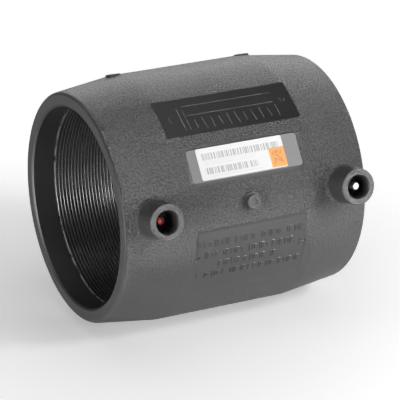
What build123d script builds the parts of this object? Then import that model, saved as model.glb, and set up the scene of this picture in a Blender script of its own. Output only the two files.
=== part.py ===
from build123d import *
import os

# Electrofusion coupler for a 110 mm polyethylene pipe, in millimetres. Z runs along the pipe axis
# from the lower end face, and +X is the way that both electrical terminals point.

# Pipe socket
pipe_diameter = 110.0
socket_clearance = 0.5
mouth_chamfer = 1.0
length = 145.6
bore_radius = pipe_diameter / 2 + socket_clearance

# Outside of the moulding: a parallel barrel between two slightly conical ends
barrel_wall = 12.2
end_wall = 7.7
cone_length = 34.2
end_rounding = 2.2
cone_blend = 14.0

# Pipe stop, a low rib round the middle of the bore
stop_height = 1.8
stop_width = 3.0

# Heating winding: coated wire, turn beside turn, moulded into the bore
entry_length = 13.0
turn_pitch = 2.8
turns_per_zone = 15
wire_depth = 1.4
groove_depth = 0.45
bridge_turn = 1.5

# Terminal shrouds, one over each end of the winding
shroud_offset = 15.6
shroud_height = 14.6
shroud_cover = 1.6
shroud_radius = 9.9
shroud_draft = 1.5
shroud_blend = 1.8
shroud_edge_rounding = 0.7
shroud_mouth_radius = 6.2
shroud_mouth_depth = 13.3
shroud_mouth_chamfer = 0.6

# Terminal pins inside the shrouds
pin_foot_radius = 3.5
pin_foot_height = 4.6
pin_neck_radius = 2.4
plain_pin_radius = 2.0
plain_pin_recess = 2.9
plain_pin_rounding = 0.5
sleeve_radius = 2.0
sleeve_recess = 7.9
sleeve_rounding = 0.35
contact_radius = 0.7
contact_recess = 0.4

# Moulding gate stub, halfway along
gate_radius = 4.2
gate_height = 3.8
gate_collar_radius = 5.3
gate_collar_height = 1.3
gate_edge_rounding = 0.4
gate_dimple_radius = 1.5
gate_dimple_depth = 0.4
gate_root = 2.0

# Label pad: a raised flat with sloping sides, lowest along its middle and highest at its lower edge
pad_width = 65.8
pad_height = 18.0
pad_corner_radius = 1.6
pad_angle = -19.7
pad_tilt = -1.8
pad_rise = 0.3
pad_side_slope = 50.0
pad_root = 3.0

# Label stuck on the pad
label_width = 51.4
label_height = 17.4
label_thickness = 0.2
label_corner_radius = 1.0
label_shift_along = -1.7
label_shift_across = 0.25

# Polished flat panel above the label pad
panel_width = 80.3
panel_height = 24.7
panel_angle = -45.0
panel_depth = 1.5
panel_corner_radius = 1.0
panel_headroom = 6.0

# Low pips near the mould's parting line, where the cones meet the barrel
pip_radius = 4.1
pip_height = 0.5
pip_root = 2.0
pip_rounding = 0.2
pip_angle = -95.0
pip_offset = 33.2

middle = length / 2
barrel_radius = bore_radius + barrel_wall
end_radius = bore_radius + end_wall
winding_radius = bore_radius + wire_depth
zone_length = turns_per_zone * turn_pitch
zone_starts = (entry_length, length - entry_length - zone_length)
bridge_length = zone_starts[1] - zone_starts[0] - zone_length
terminal_heights = (shroud_offset, length - shroud_offset)
shroud_tip = barrel_radius + shroud_height
shroud_root = winding_radius + shroud_cover
shroud_floor = shroud_tip - shroud_mouth_depth
pin_foot_top = winding_radius + pin_foot_height
plain_pin_tip = shroud_tip - plain_pin_recess
sleeve_tip = shroud_tip - sleeve_recess
contact_tip = sleeve_tip - contact_recess


def outward(radius, height, angle=0.0, tilt=0.0):
    """Plane at a radius and height that faces out at an angle; its X runs along the pipe axis."""
    foot = Vector(radius, 0, height).rotate(Axis.Z, angle)
    facing = Vector(1, 0, 0).rotate(Axis.Z, angle + tilt)
    return Plane(origin=foot, x_dir=(0, 0, 1), z_dir=facing)


pad_plane = outward(barrel_radius + pad_rise, middle, pad_angle, pad_tilt)

# The wire that crosses the middle of the bore, flush with its wall
with BuildPart() as wire_bridge:
    with BuildSketch(Plane.XZ):
        with Locations((bore_radius, zone_starts[0] + zone_length)):
            Rectangle(wire_depth, bridge_length, align=(Align.MIN, Align.MIN))
    revolve(axis=Axis.Z, revolution_arc=bridge_turn)

# Heating winding: each turn shows as a ridge between two grooves
with BuildPart() as heating_winding:
    with BuildSketch(Plane.XZ):
        for start in zone_starts:
            ridge_line = [
                (bore_radius + groove_depth * (edge % 2 == 0), start + edge * turn_pitch / 2)
                for edge in range(2 * turns_per_zone + 1)
            ]
            with BuildLine():
                Polyline(
                    *ridge_line,
                    (winding_radius, start + zone_length),
                    (winding_radius, start),
                    close=True,
                )
            make_face()
    revolve(axis=Axis.Z)
    add(wire_bridge.part)

# Plain terminal pin, at the upper end
with BuildPart() as plain_terminal_pin:
    with BuildSketch(outward(plain_pin_tip, terminal_heights[1])):
        Circle(plain_pin_radius)
    extrude(amount=shroud_floor - plain_pin_tip)
    fillet(plain_terminal_pin.edges().group_by(Axis.X)[-1], radius=plain_pin_rounding)
    with BuildSketch(outward(shroud_floor, terminal_heights[1])):
        Circle(pin_neck_radius)
    extrude(amount=pin_foot_top - shroud_floor)
    with BuildSketch(outward(pin_foot_top, terminal_heights[1])):
        Circle(pin_foot_radius)
    extrude(amount=bore_radius - pin_foot_top)
    with Locations((0, 0, middle)):
        Cylinder(winding_radius, length, mode=Mode.SUBTRACT)

# Thin contact pin of the identification terminal, at the lower end
with BuildPart() as contact_pin:
    with BuildSketch(outward(contact_tip, terminal_heights[0])):
        Circle(contact_radius)
    extrude(amount=pin_foot_top - contact_tip)
    with BuildSketch(outward(pin_foot_top, terminal_heights[0])):
        Circle(pin_foot_radius)
    extrude(amount=bore_radius - pin_foot_top)
    with Locations((0, 0, middle)):
        Cylinder(winding_radius, length, mode=Mode.SUBTRACT)

# Red insulating sleeve round the contact pin
with BuildPart() as red_terminal_sleeve:
    with BuildSketch(outward(sleeve_tip, terminal_heights[0])):
        Circle(sleeve_radius)
    extrude(amount=shroud_floor - sleeve_tip)
    fillet(red_terminal_sleeve.edges().group_by(Axis.X)[-1], radius=sleeve_rounding)
    with BuildSketch(outward(shroud_floor, terminal_heights[0])):
        Circle(pin_neck_radius)
    extrude(amount=pin_foot_top - shroud_floor)
    with BuildSketch(outward(sleeve_tip, terminal_heights[0])):
        Circle(contact_radius)
    extrude(amount=pin_foot_top - sleeve_tip, mode=Mode.SUBTRACT)

with BuildPart() as coupler_body:
    # The wall, turned from its section
    with BuildSketch(Plane.XZ) as wall_section:
        with BuildLine():
            Polyline(
                (bore_radius, mouth_chamfer),
                (bore_radius + mouth_chamfer, 0),
                (end_radius, 0),
                (barrel_radius, cone_length),
                (barrel_radius, length - cone_length),
                (end_radius, length),
                (bore_radius + mouth_chamfer, length),
                (bore_radius, length - mouth_chamfer),
                close=True,
            )
        make_face()
        fillet(wall_section.vertices().group_by(Axis.X)[-2], radius=end_rounding)
        fillet(wall_section.vertices().group_by(Axis.X)[-1], radius=cone_blend)
    revolve(axis=Axis.Z)

    # Terminal shrouds, each with a blended foot
    for height in terminal_heights:
        with BuildSketch(outward(shroud_tip, height)):
            Circle(shroud_radius)
        extrude(amount=shroud_root - shroud_tip, taper=-shroud_draft)
        new_edges = coupler_body.edges(Select.LAST)
        foot_edges = new_edges.filter_by(lambda edge: edge.center().X < shroud_floor)
        fillet(foot_edges, radius=shroud_blend)

    # Gate stub on its collar
    with BuildSketch(outward(barrel_radius + gate_collar_height, middle)):
        Circle(gate_collar_radius)
    extrude(amount=-gate_collar_height - gate_root)
    with BuildSketch(outward(barrel_radius + gate_height, middle)):
        Circle(gate_radius)
    extrude(amount=-gate_height - gate_root)
    fillet(coupler_body.edges(Select.LAST).sort_by(Axis.X)[-1], radius=gate_edge_rounding)
    with BuildSketch(outward(barrel_radius + gate_height, middle)):
        Circle(gate_dimple_radius)
    extrude(amount=-gate_dimple_depth, mode=Mode.SUBTRACT)

    # Label pad
    with BuildSketch(pad_plane):
        RectangleRounded(pad_width, pad_height, pad_corner_radius)
    extrude(amount=-pad_root, taper=-pad_side_slope)

    # Polished panel, a flat cut across the barrel
    with BuildSketch(outward(barrel_radius - panel_depth, middle, panel_angle)):
        RectangleRounded(panel_width, panel_height, panel_corner_radius)
    extrude(amount=panel_headroom, mode=Mode.SUBTRACT)

    # Pips on the parting line
    for height in (pip_offset, length - pip_offset):
        with BuildSketch(outward(barrel_radius + pip_height, height, pip_angle)):
            Circle(pip_radius)
        extrude(amount=-pip_height - pip_root)
        fillet(coupler_body.edges(Select.LAST).sort_by(Axis.Y)[0], radius=pip_rounding)

    # Pipe stop
    with BuildSketch(Plane.XZ):
        with Locations((bore_radius, middle)):
            Rectangle(stop_height, stop_width, align=(Align.MAX, Align.CENTER))
    revolve(axis=Axis.Z)

    # Seats of the winding and of the pins
    with BuildSketch(Plane.XZ):
        for start in zone_starts:
            with Locations((bore_radius, start)):
                Rectangle(wire_depth, zone_length, align=(Align.MIN, Align.MIN))
    revolve(axis=Axis.Z, mode=Mode.SUBTRACT)
    add(wire_bridge.part, mode=Mode.SUBTRACT)
    add(plain_terminal_pin.part, mode=Mode.SUBTRACT)
    add(contact_pin.part, mode=Mode.SUBTRACT)
    add(red_terminal_sleeve.part, mode=Mode.SUBTRACT)

    # Mouths of the shrouds
    for height in terminal_heights:
        with BuildSketch(outward(shroud_tip, height)):
            Circle(shroud_mouth_radius)
        extrude(amount=-shroud_mouth_depth, mode=Mode.SUBTRACT)
    mouth_edges = coupler_body.faces().group_by(Axis.X)[-1].edges().group_by(SortBy.RADIUS)[0]
    chamfer(mouth_edges, length=shroud_mouth_chamfer)
    tip_edges = coupler_body.faces().group_by(Axis.X)[-1].edges().group_by(SortBy.RADIUS)[-1]
    fillet(tip_edges, radius=shroud_edge_rounding)

# Printed label on the pad
with BuildPart() as printed_label:
    with BuildSketch(pad_plane):
        with Locations((label_shift_along, label_shift_across)):
            RectangleRounded(label_width, label_height, label_corner_radius)
    extrude(amount=label_thickness)

pieces = {
    "coupler_body": coupler_body,
    "heating_winding": heating_winding,
    "plain_terminal_pin": plain_terminal_pin,
    "contact_pin": contact_pin,
    "red_terminal_sleeve": red_terminal_sleeve,
    "printed_label": printed_label,
}
os.makedirs("parts", exist_ok=True)
for name, piece in pieces.items():
    piece.part.label = name
    export_step(piece.part, f"parts/{name}.step")
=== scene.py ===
"""Electrofusion coupler for 110 mm pipe: the finish of its moulding, winding, terminals and label.

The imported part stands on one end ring: Z is the pipe axis, and both terminals point along +X.
Sizes are in metres. MM turns a size in millimetres into metres.
"""
from math import cos, degrees, pi, radians, sin, tau

import bpy
from mathutils import Matrix, Vector


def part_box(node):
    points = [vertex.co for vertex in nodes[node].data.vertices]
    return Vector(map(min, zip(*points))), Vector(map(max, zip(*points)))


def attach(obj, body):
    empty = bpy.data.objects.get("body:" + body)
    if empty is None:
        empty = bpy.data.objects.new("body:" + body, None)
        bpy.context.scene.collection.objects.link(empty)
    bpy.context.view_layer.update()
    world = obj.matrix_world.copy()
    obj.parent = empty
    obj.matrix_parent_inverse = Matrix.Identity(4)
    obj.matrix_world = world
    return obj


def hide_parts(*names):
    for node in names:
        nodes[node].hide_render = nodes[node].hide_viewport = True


MM = 0.001
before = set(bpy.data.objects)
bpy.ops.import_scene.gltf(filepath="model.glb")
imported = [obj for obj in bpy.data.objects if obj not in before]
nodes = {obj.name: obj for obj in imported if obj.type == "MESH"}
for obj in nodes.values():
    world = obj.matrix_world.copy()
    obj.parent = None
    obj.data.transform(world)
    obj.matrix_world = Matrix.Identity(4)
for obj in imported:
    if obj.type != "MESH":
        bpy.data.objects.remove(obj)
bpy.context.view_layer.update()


# ---------------------------------------------------------------------------------------------
# Coupler body. One injection moulding in black polyethylene. The tool is spark-eroded, which
# leaves a fine grain on the barrel, and polished at the label pad and the panel above it, at
# the field of moulded marks, in the bore and on the end rings.

class Field:
    """A socket of a material's nodes: arithmetic on it adds Math nodes."""

    def __init__(self, tree, socket):
        self.tree = tree
        self.socket = socket

    def node(self, kind, inputs, output=0, **settings):
        """Adds a node with its settings, fills its inputs and gives one of its outputs."""
        made = self.tree.nodes.new(kind)
        for name, setting in settings.items():
            setattr(made, name, setting)
        for name, value in inputs.items():
            if isinstance(value, Field):
                self.tree.links.new(value.socket, made.inputs[name])
            else:
                made.inputs[name].default_value = value
        return Field(self.tree, made.outputs[output])

    def math(self, operation, *others):
        """Adds a Math node with this value first."""
        inputs = dict(enumerate((self, *others)))
        return self.node("ShaderNodeMath", inputs, operation=operation)

    def __add__(self, other):
        return self.math("ADD", other)

    def __sub__(self, other):
        return self.math("SUBTRACT", other)

    def __rsub__(self, other):
        return self.math("MULTIPLY", -1.0).math("ADD", other)

    def __mul__(self, other):
        return self.math("MULTIPLY", other)

    def __truediv__(self, other):
        return self.math("DIVIDE", other)

    def __abs__(self):
        return self.math("ABSOLUTE")

    def __or__(self, other):
        """The greater of two values, which joins two masks."""
        return self.math("MAXIMUM", other)

    __radd__ = __add__
    __rmul__ = __mul__

    def clamped(self):
        """The value kept between 0 and 1."""
        return self.math("MAXIMUM", 0.0).math("MINIMUM", 1.0)

    def near(self, centre, half, edge):
        """1 where the value is no further than half from the centre, with soft edges."""
        return ((half + edge / 2 - abs(self - centre)) / edge).clamped()

    def within(self, low, high, edge):
        """1 where the value lies between low and high, with soft edges."""
        return self.near((low + high) / 2, (high - low) / 2, edge)

    def above(self, low, edge):
        """1 where the value is over low, with a soft edge."""
        return ((self - low) / edge + 0.5).clamped()

    def below(self, high, edge):
        """1 where the value is under high, with a soft edge."""
        return 1 - self.above(high, edge)

    def noise(self, scale, detail):
        """Noise over these coordinates. A greater scale makes smaller spots."""
        return self.node("ShaderNodeTexNoise", {"Vector": self, "Scale": scale, "Detail": detail})

    def blend(self, first, second):
        """A colour that goes from the first to the second as this value goes from 0 to 1."""
        inputs = {"Factor": self, "A": first, "B": second}
        return self.node("ShaderNodeMix", inputs, output="Result", data_type="RGBA")


def finish(name, **constants):
    """A new material: gives it, its shader node and its object coordinates."""
    material = bpy.data.materials.new(name)
    material.use_nodes = True
    shader = material.node_tree.nodes["Principled BSDF"]
    for socket, value in constants.items():
        shader.inputs[socket.replace("_", " ")].default_value = value
    place = material.node_tree.nodes.new("ShaderNodeTexCoord").outputs["Object"]
    return material, shader, Field(material.node_tree, place)


def feed(shader, socket, field):
    """Joins a field to one of the shader's sockets."""
    field.tree.links.new(field.socket, shader.inputs[socket])


def turned(place, angle):
    """Coordinates turned so that the direction at an angle round the pipe becomes X."""
    return place.node("ShaderNodeMapping", {"Vector": place, "Rotation": (0, 0, -angle)})


def split(place):
    """The X, Y and Z of coordinates."""
    return [place.node("ShaderNodeSeparateXYZ", {"Vector": place}, output=axis) for axis in "XYZ"]


def distance(first, second):
    """The distance from an axis, from the two coordinates across it."""
    return (first * first + second * second).math("SQRT")


body_low, body_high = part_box("coupler_body")
middle = body_high.z / 2
barrel_radius = -body_low.x
label_low, label_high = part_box("printed_label")
label_middle = (label_low + label_high) / 2

# Sizes along the pipe and across it. HALF is half a size, and OFFSET is a height from the middle.
PAD_ANGLE = radians(-21.5)
PAD_HALF = (32.9 * MM, 9.0 * MM)
PAD_SIDE = 2.5 * MM
PAD_UPPER_SIDE = 2.0 * MM
LABEL_THICKNESS = 0.2 * MM
LABEL_SHIFT = 0.25 * MM
PANEL_ANGLE = radians(-45.0)
PANEL_HALF = (40.15 * MM, 12.35 * MM)
PANEL_DEPTH = 1.5 * MM
MARK_ANGLES = (radians(10.0), radians(43.0))
MARK_ANGLE_EDGE = 0.03
MARK_HALF = 33.0 * MM
MARK_EDGE = 1.5 * MM
BORE_EDGE = 56.6 * MM
RIM_WIDTH = 0.6 * MM
STUB_HALF = 6.0 * MM
MOUTH_OFFSET = 57.2 * MM
MOUTH_RADIUS = 6.5 * MM
MOUTH_DEPTH = 1.0 * MM
PIP_ANGLE = radians(-95.0)
PIP_HALF_ANGLE = 0.066
PIP_ANGLE_EDGE = 0.01
PIP_OFFSET = 39.6 * MM
PIP_HALF = 4.4 * MM

# How far above a face each raised piece starts to be told from it.
SIDE_FOOT = 0.05 * MM
STROKE_FOOT = 0.12 * MM
RULE_FOOT = 0.17 * MM
RULE_EDGE = 0.08 * MM
RULE_MARGIN = 1.0 * MM
BOSS_FOOT = 0.3 * MM
PIP_FOOT = 0.02 * MM

# The soft edges of the masks, and how near to a flat face a point counts as on it.
SHARP = 0.1 * MM
CRISP = 0.3 * MM
SOFT = 0.4 * MM
WIDE = 0.5 * MM
FACE_REACH = 0.15 * MM

pad_direction = Vector((cos(PAD_ANGLE), sin(PAD_ANGLE), 0))
pad_across = Vector((sin(PAD_ANGLE), -cos(PAD_ANGLE), 0))
pad_face = label_middle.dot(pad_direction) - LABEL_THICKNESS / 2
label_centre = label_middle.dot(pad_across)
pad_centre = label_centre - LABEL_SHIFT
panel_face = barrel_radius - PANEL_DEPTH

polyethylene, shader, place = finish("black_polyethylene", Specular_IOR_Level=1.0, IOR=1.8)
x, y, z = split(place)
radius = distance(x, y)
round_angle = y.math("ARCTAN2", x)
along = z - middle
from_middle = abs(along)

pad_x, pad_y = split(turned(place, PAD_ANGLE))[:2]
pad_up = pad_y * -1.0 - pad_centre
pad_flat = (
    pad_x.near(pad_face, FACE_REACH, SHARP)
    * along.near(0.0, PAD_HALF[0], CRISP)
    * pad_up.near(0.0, PAD_HALF[1], CRISP)
)
pad_sides = (
    radius.above(barrel_radius + SIDE_FOOT, SHARP)
    * along.near(0.0, PAD_HALF[0] + PAD_SIDE, WIDE)
    * pad_up.within(-PAD_HALF[1] - PAD_SIDE, PAD_HALF[1] + PAD_UPPER_SIDE, WIDE)
)
panel_x, panel_y = split(turned(place, PANEL_ANGLE))[:2]
along_panel = along.near(0.0, PANEL_HALF[0], SOFT)
on_panel = (
    panel_x.near(panel_face, FACE_REACH, SHARP)
    * along_panel
    * panel_y.near(0.0, PANEL_HALF[1], SOFT)
)
on_rules = (
    panel_x.above(panel_face + RULE_FOOT, RULE_EDGE)
    * along_panel
    * panel_y.near(0.0, PANEL_HALF[1] - RULE_MARGIN, SOFT)
)
on_marks = (
    round_angle.within(*MARK_ANGLES, MARK_ANGLE_EDGE) * along.near(0.0, MARK_HALF, MARK_EDGE)
)
on_strokes = on_marks * radius.above(barrel_radius + STROKE_FOOT, SHARP)
on_bosses = x.above(barrel_radius + BOSS_FOOT, CRISP)
on_stub = on_bosses * along.near(0.0, STUB_HALF, SOFT)
on_pips = (
    round_angle.near(PIP_ANGLE, PIP_HALF_ANGLE, PIP_ANGLE_EDGE)
    * from_middle.near(PIP_OFFSET, PIP_HALF, SOFT)
    * radius.above(barrel_radius + PIP_FOOT, SHARP)
)
in_bore = radius.below(BORE_EDGE, SOFT)
in_mouths = (
    x.above(barrel_radius - MOUTH_DEPTH, WIDE)
    * distance(y, from_middle - MOUTH_OFFSET).below(MOUTH_RADIUS, CRISP)
)
# The range starts at 0, so its soft edge also marks a thin ring at half height.
on_rim = 1 - from_middle.within(0.0, middle - RIM_WIDTH, SOFT)
smooth = pad_flat | on_panel | on_marks | pad_sides | in_bore | on_rim | in_mouths

# The grain, and the broad cloudy marks that the flow of the melt leaves.
COARSE_SCALE = 950.0
FINE_SCALE = 2200.0
FLOW_SCALE = 45.0
COARSE_SHARE = 0.7
GRAIN_DEPTH = 2.4 * MM
GRAIN_CONTRAST = 7.0
FAINT_ANGLE = 0.3
FAINT_EDGE = 0.7
SMOOTH_LOSS = 0.95
FAINT_LOSS = 0.75
BOSS_LOSS = 0.6
grain = place.noise(COARSE_SCALE, 2.0) * COARSE_SHARE + place.noise(FINE_SCALE, 2.0) * (1 - COARSE_SHARE)
flow = place.noise(FLOW_SCALE, 3.0)
# Round from FAINT_ANGLE the grain is made faint, in relief and in colour. The fainter colour there is
# painted soft light: it stands for the soft lamp light on that side.
soft_light_side = round_angle.above(FAINT_ANGLE, FAINT_EDGE)
rough = (1 - smooth * SMOOTH_LOSS) * (1 - soft_light_side * FAINT_LOSS) * (1 - on_bosses * BOSS_LOSS)
relief = place.node(
    "ShaderNodeBump", {"Height": grain * rough, "Strength": 1.0, "Distance": GRAIN_DEPTH}
)
feed(shader, "Normal", relief)

# Roughness: each place adds its share to that of the plain moulding.
PLAIN_ROUGHNESS = 0.28
FLOW_ROUGHNESS = 0.1
roughness = PLAIN_ROUGHNESS + flow * FLOW_ROUGHNESS
for place_mask, extra in (
    (smooth, -0.02), (on_rim, 0.12), (in_mouths, 0.2), (pad_flat, 0.25), (in_bore, 0.2), (on_stub, 0.15)
):
    roughness = roughness + place_mask * extra
feed(shader, "Roughness", roughness)

# Tone: grey peaks on black where there is grain, one even tone elsewhere, and each place lighter or
# darker than that by its share. The grey peaks and black pits paint the grain's sparkle and the shade in
# its pits; the bump above gives its relief.
DEEP_BLACK = (0.003, 0.003, 0.003, 1)
PEAK_GREY = (0.1, 0.1, 0.102, 1)
EVEN_TONE = 0.45
SMOOTH_DARKER = 0.08
FLOW_DARKEST = 0.5
FLOW_TONE = 0.9
sparkle_and_pit_shade = ((grain - 0.5) * GRAIN_CONTRAST + 0.5).clamped()
shade = sparkle_and_pit_shade * rough + (EVEN_TONE - smooth * SMOOTH_DARKER) * (1 - rough)
shade = shade * (FLOW_DARKEST + flow * FLOW_TONE)
# Painted light and shade in these shares: the panel is darker as a painted dark reflection, the pad
# lighter as a painted reflection of a lamp, the strokes of the marks darker as painted shade, the
# panel's rules lighter as painted highlights, the bosses and the stub darker as painted shade, and the
# bore and the shroud mouths near black as painted shade in the hollows. The pips are darker.
for place_mask, change in (
    (on_panel, -0.75), (pad_flat, 0.8), (on_strokes, -0.8), (on_rules, 1.5), (on_bosses, -0.5),
    (on_stub, -0.7), (in_bore, -0.95), (in_mouths, -0.95), (on_pips, -0.9),
):
    shade = shade * (1 + place_mask * change)
feed(shader, "Base Color", shade.blend(DEEP_BLACK, PEAK_GREY))
nodes["coupler_body"].data.materials[0] = polyethylene


# ---------------------------------------------------------------------------------------------
# Moulded marks and lines. The tool's engraver cut them, so they stand a little proud of the
# polished fields: rows of plain strokes, a direction arrow at each side, and long thin rules.

# The depth of the blocks. Half of it is sunk in the wall.
MARK_BLOCK = 0.7 * MM
RULE_BLOCK = 0.5 * MM
EDGE_WEAR = 0.1 * MM

# Rows of marks: the angle round the pipe in degrees, then the first and last height in mm.
MARK_ROWS = ((16.4, -31.6, 30.3), (22.0, -27.8, 24.9), (27.5, -18.7, 15.9), (33.0, -31.3, 30.0))
MARK_WIDTHS = (1.7 * MM, 0.6 * MM)
MARK_LENGTHS = (3.9 * MM, 2.9 * MM)
MARK_GAP = 1.15 * MM

# Arrows: the height in mm, the angle round the pipe in degrees and the lean in radians. A barb
# leans to each side, and stands off the tip by a spread in degrees and a shift along the pipe.
ARROWS = ((-32.6, 23.8, 0.6), (31.2, 24.2, 0.1))
ARROW_SHAFT = (0.7 * MM, 4.6 * MM, MARK_BLOCK)
ARROW_BARB = (0.7 * MM, 2.4 * MM, MARK_BLOCK)
ARROW_REACH = 2.2 * MM
BARB_LEAN = 0.75
BARB_SPREAD = 0.825
BARB_SHIFT = 0.7 * MM

# Rules and odd strokes of the panel: the distance from its middle line, the height, and the size
# across and along, all in mm, and the lean in radians. The upright strokes stand in one row.
RULES = (
    (-7.0, 2.9, 0.55, 53.0, 0.0),
    (-0.7, 2.9, 0.55, 52.0, 0.0),
    (1.0, -27.2, 15.0, 0.8, 0.0),
    (1.6, -24.2, 13.0, 0.6, 0.0),
    (1.0, -33.8, 4.2, 0.6, 0.0),
    (-1.0, 33.8, 2.6, 0.6, 0.5),
    (-1.0, 36.2, 2.6, 0.6, -0.4),
)
UPRIGHT_COUNT = 11
UPRIGHT_PITCH = 4.9
UPRIGHT_FIRST = -19.8
UPRIGHT_ACROSS = 5.4
UPRIGHT_LENGTHS = (7.4, 5.6)
UPRIGHT_WIDTH = 0.8
UPRIGHT_LEAN = 0.12


def stroke(facing, centre, size, lean=0.0):
    """A raised stroke: a block sized across, along and out, on a surface that faces out."""
    bpy.ops.object.select_all(action="DESELECT")
    bpy.ops.mesh.primitive_cube_add(size=1, location=(0, 0, 0))
    block = bpy.context.object
    block.scale = size
    bpy.ops.object.transform_apply(location=False, rotation=False, scale=True)
    edges = block.modifiers.new("worn_edges", "BEVEL")
    edges.width = EDGE_WEAR
    edges.segments = 1
    bpy.ops.object.modifier_apply(modifier=edges.name)
    across = Vector((0, 0, 1)).cross(facing)
    stand = Matrix((across, Vector((0, 0, 1)), facing)).transposed().to_4x4()
    block.data.transform(Matrix.Translation(centre) @ stand @ Matrix.Rotation(lean, 4, "Z"))
    return block


def barrel_stroke(angle, height, size, lean=0.0):
    """A stroke on the barrel, at an angle round the pipe and a height along it."""
    facing = Vector((cos(angle), sin(angle), 0))
    return stroke(facing, facing * barrel_radius + Vector((0, 0, middle + height)), size, lean)


def panel_stroke(across, height, size_across, size_along, lean):
    """A stroke on the panel, at a distance from its middle line, with its sizes in mm."""
    facing = Vector((cos(PANEL_ANGLE), sin(PANEL_ANGLE), 0))
    sideways_on = Vector((-facing.y, facing.x, 0))
    centre = (
        facing * panel_face + sideways_on * (across * MM) + Vector((0, 0, middle + height * MM))
    )
    return stroke(facing, centre, (size_across * MM, size_along * MM, RULE_BLOCK), lean)


def joined(name, parts, material):
    """Parts joined into one piece of one material that rides on the body."""
    bpy.ops.object.select_all(action="DESELECT")
    for part in parts:
        part.select_set(True)
    bpy.context.view_layer.objects.active = parts[0]
    bpy.ops.object.join()
    whole = bpy.context.object
    whole.name = name
    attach(whole, "root")
    whole.data.materials.clear()
    whole.data.materials.append(material)
    return whole


# Two widths and two lengths of stroke, and gaps, in an order that doesn't repeat along a row.
strokes = []
for row, (row_angle, first, last) in enumerate(MARK_ROWS):
    height = first * MM
    count = 0
    while height < last * MM:
        wide = MARK_WIDTHS[0] if (count * 7 + row * 3) % 5 < 2 else MARK_WIDTHS[1]
        tall = MARK_LENGTHS[0] if (count + row) % 3 else MARK_LENGTHS[1]
        if (count * 5 + row * 4) % 7 != 3:
            strokes.append(barrel_stroke(radians(row_angle), height, (tall, wide, MARK_BLOCK)))
        height += wide + MARK_GAP
        count += 1
for height, angle, lean in ARROWS:
    strokes.append(barrel_stroke(radians(angle), height * MM, ARROW_SHAFT, lean))
    tip_height = height * MM - ARROW_REACH * cos(lean)
    tip_angle = angle - degrees(ARROW_REACH * sin(lean) / barrel_radius)
    for side in (-1, 1):
        barb_angle = radians(tip_angle + side * BARB_SPREAD)
        strokes.append(barrel_stroke(
            barb_angle, tip_height + BARB_SHIFT, ARROW_BARB, lean + side * BARB_LEAN
        ))
joined("moulded_marks", strokes, polyethylene)

rules = [panel_stroke(*rule) for rule in RULES]
for count in range(UPRIGHT_COUNT):
    tall = UPRIGHT_LENGTHS[0] if count % 3 else UPRIGHT_LENGTHS[1]
    height = count * UPRIGHT_PITCH + UPRIGHT_FIRST
    lean = UPRIGHT_LEAN * (count % 2)
    rules.append(panel_stroke(UPRIGHT_ACROSS, height, tall, UPRIGHT_WIDTH, lean))
joined("panel_rules", rules, polyethylene)


# ---------------------------------------------------------------------------------------------
# Heating winding. Resistance wire in a black polyethylene coat, wound turn beside turn on the
# mould's core in two zones, joined by one straight run, and moulded into the wall of the bore.

WIRE_PITCH = 2.0 * MM
ZONE_TURNS = 20
WIRE_DEPTH = 1.4 * MM
WIRE_SIDES = 12
TURN_STEPS = 96
RUN_WIDTH = 1.45 * MM
BACKING_DEPTH = 0.95 * MM
BACKING_SIDES = 128
SMOOTH_ANGLE = radians(50)
GROOVE_START = 0.3 * MM
GROOVE_EDGE = 0.2 * MM
RING_WIDTH = 1.2 * MM
winding_low, winding_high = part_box("heating_winding")
bore_radius = winding_high.x - WIRE_DEPTH
zone_length = (ZONE_TURNS + 1) * WIRE_PITCH
zone_starts = (winding_low.z, winding_high.z - zone_length)


def wound_zone(start):
    """One zone: an oval wire, wound as a helix, with its two ends closed."""
    bpy.ops.object.select_all(action="DESELECT")
    bpy.ops.mesh.primitive_circle_add(vertices=WIRE_SIDES, radius=1.0, location=(0, 0, 0))
    wire = bpy.context.object
    wire.rotation_euler = (pi / 2, 0, 0)
    wire.scale = (WIRE_DEPTH / 2, WIRE_PITCH / 2, 1)
    wire.location = (bore_radius + WIRE_DEPTH / 2, 0, start + WIRE_PITCH / 2)
    bpy.ops.object.transform_apply(location=True, rotation=True, scale=True)
    turns = wire.modifiers.new("turns", "SCREW")
    turns.axis = "Z"
    turns.angle = tau
    turns.screw_offset = WIRE_PITCH
    turns.iterations = ZONE_TURNS
    turns.steps = TURN_STEPS
    turns.render_steps = TURN_STEPS
    bpy.ops.object.modifier_apply(modifier=turns.name)
    bpy.ops.object.mode_set(mode="EDIT")
    bpy.ops.mesh.select_all(action="SELECT")
    bpy.ops.mesh.fill_holes(sides=WIRE_SIDES)
    bpy.ops.mesh.select_all(action="SELECT")
    bpy.ops.mesh.normals_make_consistent(inside=False)
    bpy.ops.object.mode_set(mode="OBJECT")
    bpy.ops.object.shade_smooth_by_angle(angle=SMOOTH_ANGLE)
    return wire


def backing(start):
    """The thin sleeve of polyethylene that shows between the turns of a zone."""
    bpy.ops.object.select_all(action="DESELECT")
    bpy.ops.mesh.primitive_cylinder_add(
        vertices=BACKING_SIDES,
        radius=bore_radius + WIRE_DEPTH,
        depth=zone_length,
        end_fill_type="NOTHING",
        location=(0, 0, start + zone_length / 2),
    )
    bpy.ops.object.transform_apply(location=True, rotation=False, scale=False)
    sleeve = bpy.context.object
    wall = sleeve.modifiers.new("wall", "SOLIDIFY")
    wall.thickness = BACKING_DEPTH
    wall.offset = -1
    bpy.ops.object.modifier_apply(modifier=wall.name)
    bpy.ops.object.shade_smooth_by_angle(angle=SMOOTH_ANGLE)
    return sleeve


def straight_run():
    """The straight length of wire between the zones."""
    bpy.ops.object.select_all(action="DESELECT")
    bpy.ops.mesh.primitive_cube_add(size=1, location=(0, 0, 0))
    run = bpy.context.object
    run.scale = (WIRE_DEPTH, RUN_WIDTH, zone_starts[1] - zone_starts[0] - zone_length)
    run.location = (bore_radius + WIRE_DEPTH / 2, RUN_WIDTH / 2, middle)
    bpy.ops.object.transform_apply(location=True, rotation=False, scale=True)
    return run
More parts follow.
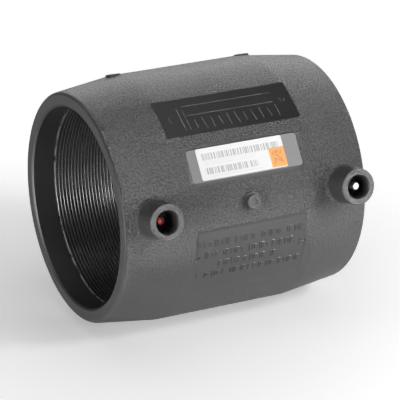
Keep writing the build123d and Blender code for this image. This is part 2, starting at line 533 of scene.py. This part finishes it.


# Glossy black, dull in the grooves, with a patchy light grey ring at the mouth of the lower zone. The
# grooves are painted a little darker than the crests: painted shade.
COAT_BLACK = (0.002, 0.002, 0.002, 1)
RING_GREY = (0.5, 0.5, 0.5, 1)
PATCH_SCALE = 160.0
RING_PATCH_LEVEL = 0.42
RING_PATCH_EDGE = 0.15
RING_SHARE = 0.95
RIDGE_SHARE = 0.05
COAT_ROUGHNESS = 0.2
PATCH_ROUGHNESS = 0.1
GROOVE_ROUGHNESS = 0.2
coated_wire, shader, place = finish(
    "coated_wire", Specular_IOR_Level=1.0, IOR=1.5, Coat_Weight=1.0, Coat_Roughness=0.2
)
x, y, z = split(place)
groove = distance(x, y).above(bore_radius + GROOVE_START, GROOVE_EDGE)
patches = place.noise(PATCH_SCALE, 4.0)
edge_ring = z.below(winding_low.z + RING_WIDTH, CRISP) * patches.above(RING_PATCH_LEVEL, RING_PATCH_EDGE)
# The ring is a patchy light grey; the crests are a little lighter than the grooves, as painted shade in
# the grooves.
lightness = edge_ring * RING_SHARE + (1 - groove) * RIDGE_SHARE
feed(shader, "Base Color", lightness.blend(COAT_BLACK, RING_GREY))
feed(shader, "Roughness", COAT_ROUGHNESS + patches * PATCH_ROUGHNESS + groove * GROOVE_ROUGHNESS)

lengths_of_wire = [wound_zone(start) for start in zone_starts]
lengths_of_wire += [backing(start) for start in zone_starts]
lengths_of_wire.append(straight_run())
winding = joined("wound_wire", lengths_of_wire, coated_wire)
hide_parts("heating_winding")


# ---------------------------------------------------------------------------------------------
# Terminals. Two plated pins stand in the shrouds. The upper one is a plain 4 mm pin, and the
# lower one is a thin contact pin in a red plastic sleeve, by which the control box knows the size.

TOOL_MARK_SCALE = 1500.0
TOOL_MARK_DEPTH = 0.03 * MM
MOTTLE_SCALE = 900.0
SLEEVE_ROUGHNESS = 0.3
MOTTLE_ROUGHNESS = 0.15
plated_metal, shader, place = finish(
    "plated_metal", Base_Color=(0.86, 0.84, 0.79, 1), Metallic=0.9, Roughness=0.38
)
tool_marks = place.noise(TOOL_MARK_SCALE, 2.0)
relief = place.node(
    "ShaderNodeBump", {"Height": tool_marks, "Strength": 0.4, "Distance": TOOL_MARK_DEPTH}
)
feed(shader, "Normal", relief)
nodes["plain_terminal_pin"].data.materials[0] = plated_metal
nodes["contact_pin"].data.materials[0] = plated_metal

red_plastic, shader, place = finish("red_plastic", Base_Color=(0.85, 0.08, 0.05, 1))
mottle = place.noise(MOTTLE_SCALE, 2.0)
feed(shader, "Roughness", SLEEVE_ROUGHNESS + mottle * MOTTLE_ROUGHNESS)
nodes["red_terminal_sleeve"].data.materials[0] = red_plastic


# ---------------------------------------------------------------------------------------------
# Printed label. White paper film, stuck on the pad. The print is two rows of grey bars with
# small lines of print under each, and an orange square at the lower right.

LABEL_HALF = (25.7 * MM, 8.7 * MM)
FILM_WHITE = (0.86, 0.86, 0.86, 1)
PRINT_GREY = (0.08, 0.08, 0.09, 1)
ORANGE = (0.9, 0.42, 0.1, 1)
DARK_ORANGE = (0.62, 0.2, 0.1, 1)
BAR_INK = 0.5
LINE_INK = 0.16
DOT_INK = 0.8
BAR_SIDE_EDGE = 0.006
SPECK_SCALE = 3200.0
SPECK_LEVEL = 0.48
DOT_SCALE = 900.0
DOT_LEVEL = 0.52

label_film, shader, place = finish("label_film", Roughness=0.45, Specular_IOR_Level=0.4)
label_y, label_z = split(turned(place, PAD_ANGLE))[1:]
label_across = (label_z - (label_middle.z - LABEL_HALF[0])) / (2 * LABEL_HALF[0])
label_down = (label_y + label_centre + LABEL_HALF[1]) / (2 * LABEL_HALF[1])


def label_block(left, right, top, bottom, side_edge=0.02, end_edge=0.02):
    """A block of the label as a mask, with its edges as shares of the width and the height."""
    return label_across.within(left, right, side_edge) * label_down.within(top, bottom, end_edge)


def printed_bars(density, offset):
    """Upright bars of chance widths, as a mask over the label."""
    spread = label_across * density + offset
    chance = spread.node(
        "ShaderNodeTexNoise", {"W": spread, "Scale": 1.0, "Detail": 1.0}, noise_dimensions="1D"
    )
    return chance.above(0.5, 0.05)


upper_bars = printed_bars(62.0, 3.0) * label_block(0.055, 0.943, 0.17, 0.38, BAR_SIDE_EDGE)
lower_bars = printed_bars(55.0, 40.0) * label_block(0.053, 0.665, 0.625, 0.83, BAR_SIDE_EDGE)
bars = upper_bars | lower_bars
small_lines = place.noise(SPECK_SCALE, 1.0).above(SPECK_LEVEL, 0.1) * (
    label_block(0.06, 0.66, 0.42, 0.455)
    | label_block(0.06, 0.66, 0.50, 0.535)
    | label_block(0.1, 0.7, 0.88, 0.915)
)
printed = (bars * BAR_INK | small_lines * LINE_INK).blend(FILM_WHITE, PRINT_GREY)
dots = place.noise(DOT_SCALE, 2.0).above(DOT_LEVEL, 0.12)
dots = dots * label_block(0.85, 0.97, 0.45, 0.86, side_edge=0.03, end_edge=0.08)
orange = (dots * DOT_INK).blend(ORANGE, DARK_ORANGE)
square = label_block(0.82, 1.01, 0.355, 0.97, side_edge=0.008)
feed(shader, "Base Color", square.blend(printed, orange))
nodes["printed_label"].data.materials[0] = label_film


# ---------------------------------------------------------------------------------------------
# Stage: a pale studio. The coupler lies on a table for the main view, on the barrel's side away
# from FLOOR_ANGLE, and stands on a floor for the others. Each surface shows from one side only,
# and glows a little to the camera, more so far from the coupler.

FLOOR_ANGLE = radians(-78.515)
SHEET_SIZE = 6.0
SHEET_WHITE = (0.9, 0.9, 0.9, 1)
SHEET_GLOW = 0.34
FAR_GLOW = 0.3
FAR_START = 0.19
FAR_END = 20.0
FAR_EDGE = 0.2
WORLD_LIGHT = 0.02
floor_up = Vector((cos(FLOOR_ANGLE), sin(FLOOR_ANGLE), 0))


def one_sided(name):
    """A white surface that can't be seen from behind, lifted a little towards white."""
    material, shader, place = finish(
        name, Base_Color=SHEET_WHITE, Roughness=0.9, Specular_IOR_Level=0.0, Emission_Strength=1.0
    )
    x, y, z = split(place)
    beside = y * cos(FLOOR_ANGLE) - x * sin(FLOOR_ANGLE)
    far_off = distance(z - middle, beside).within(FAR_START, FAR_END, FAR_EDGE)
    seen = place.node("ShaderNodeLightPath", {}, output="Is Camera Ray")
    feed(shader, "Emission Color", seen * (SHEET_GLOW + far_off * FAR_GLOW))
    from_behind = place.node("ShaderNodeNewGeometry", {}, output="Backfacing")
    white = Field(place.tree, shader.outputs["BSDF"])
    clear = place.node("ShaderNodeBsdfTransparent", {})
    surface = place.node("ShaderNodeMixShader", {0: from_behind, 1: white, 2: clear})
    feed(place.tree.nodes["Material Output"], "Surface", surface)
    return material


def sheet(name, centre, normal, material):
    """A flat square that faces along a normal."""
    bpy.ops.object.select_all(action="DESELECT")
    bpy.ops.mesh.primitive_plane_add(size=SHEET_SIZE, location=(0, 0, 0))
    made = bpy.context.object
    made.name = name
    turn = Vector(normal).to_track_quat("Z", "Y").to_matrix().to_4x4()
    made.data.transform(Matrix.Translation(centre) @ turn)
    made.data.materials.append(material)
    made.visible_shadow = False
    return made


sheet("table", -floor_up * barrel_radius, floor_up, one_sided("table_white"))
floor = sheet("floor", (0, 0, 0), (0, 0, 1), one_sided("floor_white"))
floor.visible_diffuse = False
floor.visible_glossy = False

world = bpy.data.worlds.new("studio")
bpy.context.scene.world = world
world.use_nodes = True
sky = world.node_tree.nodes["Background"]
rays = world.node_tree.nodes.new("ShaderNodeLightPath")
camera_ray = Field(world.node_tree, rays.outputs["Is Camera Ray"])
feed(sky, "Strength", camera_ray * (1 - WORLD_LIGHT) + WORLD_LIGHT)
sky.inputs["Color"].default_value = (1, 1, 1, 1)

CAMERA_AIM = Vector((2.42, 7.69, 74.52)) * MM
CAMERA_DISTANCE = 1452.9 * MM
CAMERA_ROUND = radians(-11.585)
CAMERA_BELOW = radians(25.715)
CAMERA_SENSOR = 36.0
CAMERA_LENS = 236.76
backward = Vector((
    cos(CAMERA_BELOW) * cos(CAMERA_ROUND),
    cos(CAMERA_BELOW) * sin(CAMERA_ROUND),
    -sin(CAMERA_BELOW),
))
sideways = floor_up.cross(backward).normalized()
upward = backward.cross(sideways)
camera_data = bpy.data.cameras.new("camera")
camera_data.sensor_width = CAMERA_SENSOR
camera_data.lens = CAMERA_LENS
camera = bpy.data.objects.new("camera", camera_data)
camera.matrix_world = Matrix.Translation(CAMERA_AIM + backward * CAMERA_DISTANCE) @ Matrix(
    (sideways, upward, backward)
).transposed().to_4x4()
bpy.context.scene.collection.objects.link(camera)
bpy.context.scene.camera = camera


def softbox(name, right, up, toward, size, power):
    """A flat lamp placed by the main view's directions and aimed at the coupler."""
    lamp = bpy.data.lights.new(name, "AREA")
    lamp.shape = "RECTANGLE"
    lamp.size, lamp.size_y = size
    lamp.energy = power
    made = bpy.data.objects.new(name, lamp)
    aim = Vector((0, 0, middle))
    ahead = sideways.cross(floor_up)
    spot = aim + sideways * right + floor_up * up + ahead * toward
    out = (spot - aim).normalized()
    level = floor_up.cross(out).normalized()
    made.matrix_world = Matrix.Translation(spot) @ (
        Matrix((level, out.cross(level), out)).transposed().to_4x4()
    )
    made.visible_camera = False
    bpy.context.scene.collection.objects.link(made)


# Six lamps: two at the right, one above, a wide one behind, and two at the front left. The last
# one is below the table, and its light passes the table, because the sheets cast no shadow.
softbox("right_low", 1.25, 0.25, 0.5, (0.3, 0.3), 6.0)
softbox("right_near", 0.62, 0.42, 0.3, (0.2, 0.2), 2.4)
softbox("top", 0.0, 1.3, 0.2, (0.9, 0.9), 2.5)
softbox("back_horizon", 0.2, 0.45, -1.6, (2.6, 0.8), 13.0)
softbox("front_left", -0.7, 0.1, 1.0, (0.4, 0.2), 5.0)
softbox("table_glow", -0.7, -0.15, 1.0, (0.4, 0.15), 5.0)

bpy.context.scene.view_settings.view_transform = "Standard"
